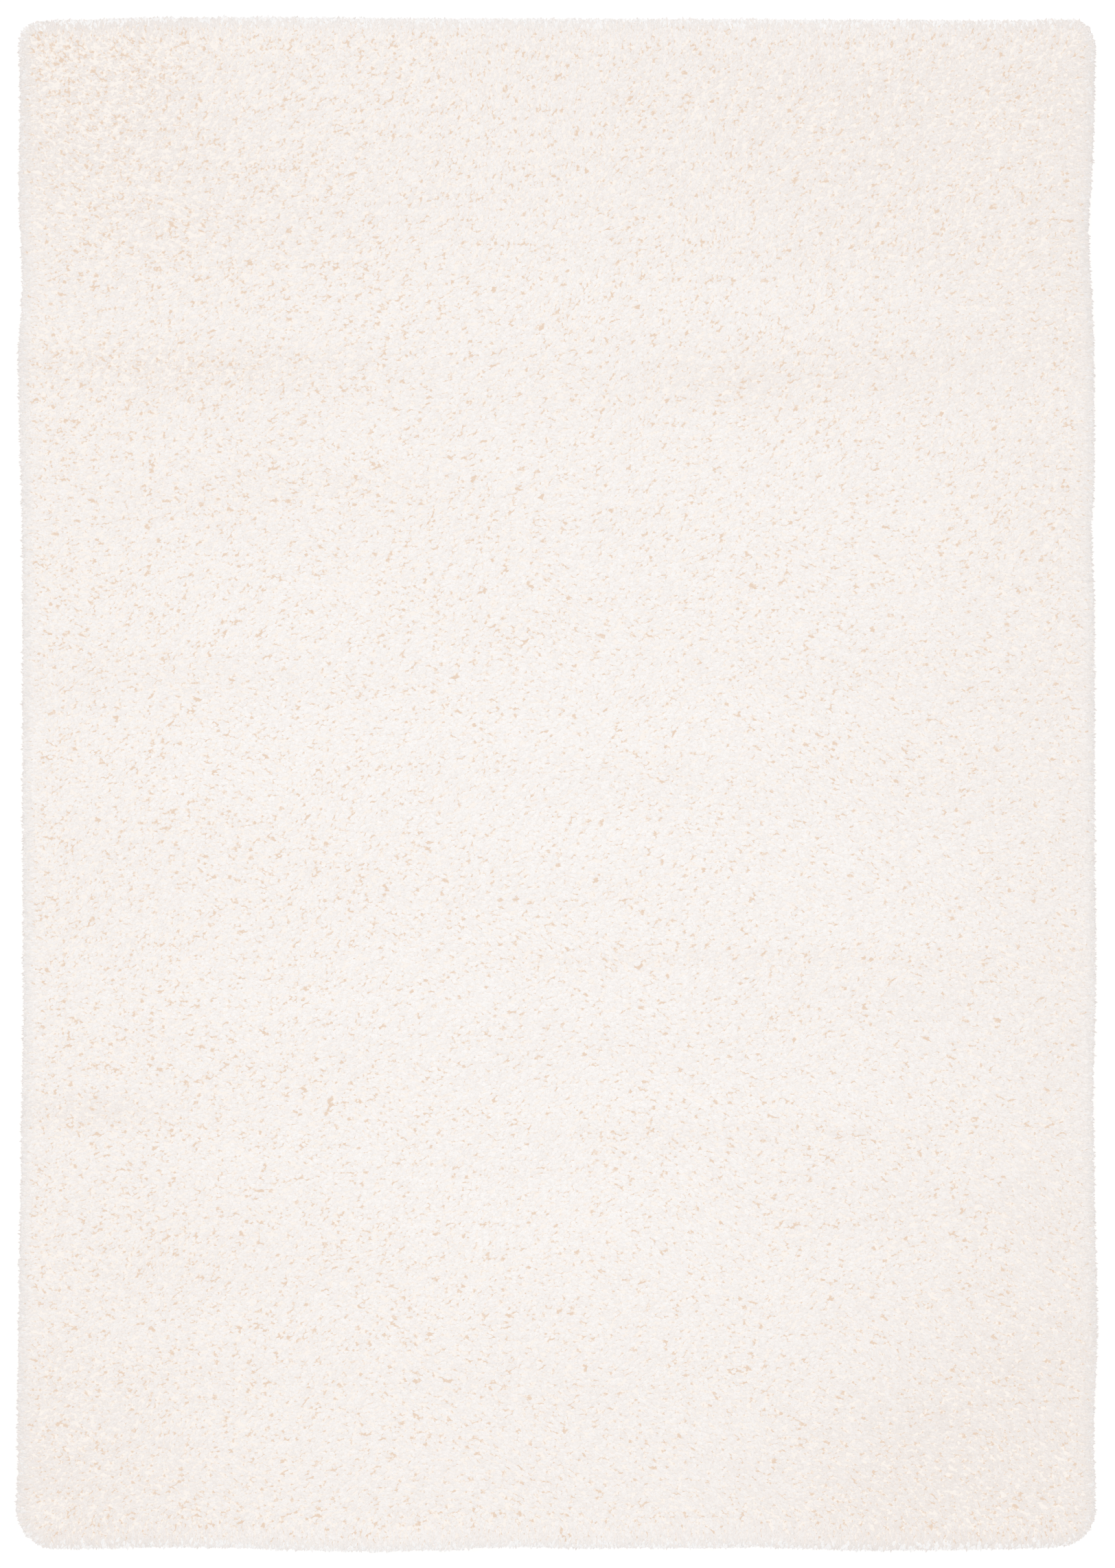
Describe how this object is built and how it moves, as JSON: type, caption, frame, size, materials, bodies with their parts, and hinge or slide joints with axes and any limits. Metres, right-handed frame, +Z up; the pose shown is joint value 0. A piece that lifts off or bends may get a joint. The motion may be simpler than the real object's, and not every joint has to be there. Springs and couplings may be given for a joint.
{
  "type": "shag rug",
  "caption": "Rectangular cream shag rug: deep cut pile on a woven ground, with rounded corners and yarn locks drooping over its rim, lying flat.",
  "frame": {"origin": "middle of the flat underside, on the floor", "axes": "+X across the rug's width, +Y along its length, +Z up through the pile"},
  "size_m": [1.6328, 2.3148, 0.0392],
  "materials": {
    "pile_yarn": "soft matte cream yarn, cut pile"
  },
  "bodies": {
    "root": {"shag_rug": "pile_yarn"}
  },
  "joints": []
}
